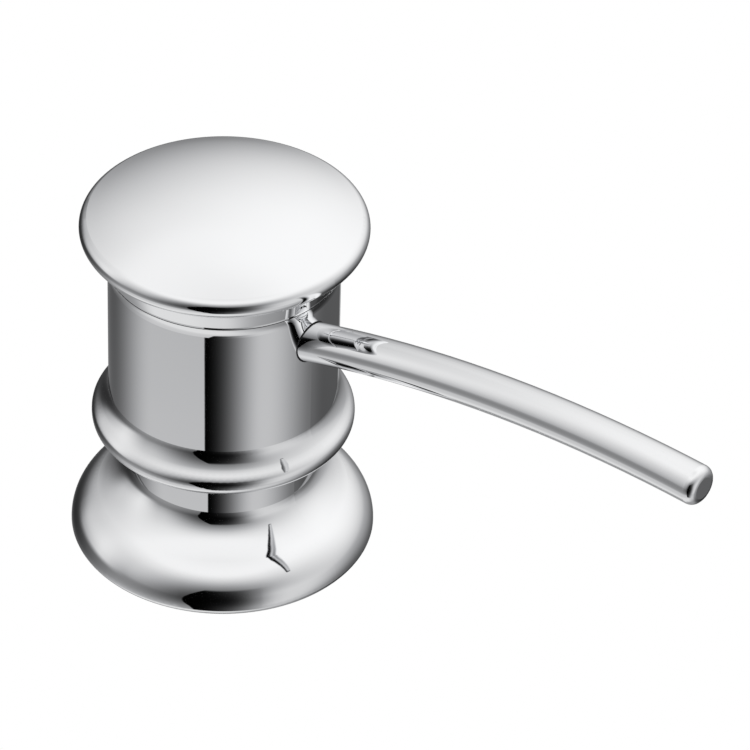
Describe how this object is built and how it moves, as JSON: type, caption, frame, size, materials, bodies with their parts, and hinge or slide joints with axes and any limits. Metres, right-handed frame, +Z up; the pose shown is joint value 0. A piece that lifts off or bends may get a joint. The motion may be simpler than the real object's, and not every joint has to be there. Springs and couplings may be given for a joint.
{
  "type": "soap pump dispenser",
  "caption": "Deck-mounted soap pump dispenser: domed press cap on a beaded sleeve with a long curved spout, bell flange, and the pump, shank and bottle below the deck.",
  "frame": {"origin": "centre of the base flange's underside, on the top surface of the deck", "axes": "+Z up along the pump's axis, +X along the spout at rest"},
  "size_m": [0.1315, 0.066, 0.2338],
  "materials": {
    "chrome": "polished",
    "black_rubber": "matte",
    "white_acetal": "moulded",
    "clear_tube": "translucent",
    "bottle_plastic": "translucent",
    "stainless_steel": "bright",
    "brass": "turned",
    "grey_plastic": "moulded"
  },
  "bodies": {
    "base": {"base_flange": "chrome", "flange_gasket": "black_rubber", "threaded_shank": "brass", "rubber_washer": "black_rubber", "steel_washer": "stainless_steel", "mounting_nut": "grey_plastic", "bottle": "bottle_plastic", "bottle_gasket": "black_rubber"},
    "cartridge": {"pump_collar": "white_acetal", "collar_gasket": "black_rubber", "stem_seal": "black_rubber", "pump_cylinder": "white_acetal", "inlet_seat": "white_acetal", "dip_tube": "clear_tube", "return_spring": "stainless_steel"},
    "inlet_check": {"inlet_ball": "stainless_steel"},
    "plunger": {"plunger_stem": "stainless_steel", "piston": "white_acetal", "piston_seal": "black_rubber"},
    "outlet_check": {"outlet_ball": "stainless_steel"},
    "head": {"cap": "chrome", "cap_ring": "black_rubber", "sleeve": "chrome", "guide_bush": "white_acetal", "head_core": "white_acetal", "spout": "chrome", "spout_seal": "black_rubber", "outlet_nozzle": "grey_plastic"}
  },
  "joints": [
    {"name": "cartridge_lift", "type": "slide", "parent": "base", "child": "cartridge", "axis": [0, 0, 1], "range_m": [0, 0.18]},
    {"name": "press", "type": "slide", "parent": "cartridge", "child": "plunger", "axis": [0, 0, -1], "range_m": [0, 0.007], "stiffness_N_per_m": 600, "springref_m": -0.012, "deforming": ["return_spring"]},
    {"name": "swivel", "type": "hinge", "parent": "plunger", "child": "head", "pos_m": [0, 0, 0.0427], "axis": [0, 0, 1], "continuous": true},
    {"name": "inlet_check_lift", "type": "slide", "parent": "cartridge", "child": "inlet_check", "axis": [0, 0, 1], "range_m": [0, 0.0015]},
    {"name": "outlet_check_lift", "type": "slide", "parent": "plunger", "child": "outlet_check", "axis": [0, 0, 1], "range_m": [0, 0.0014]}
  ]
}
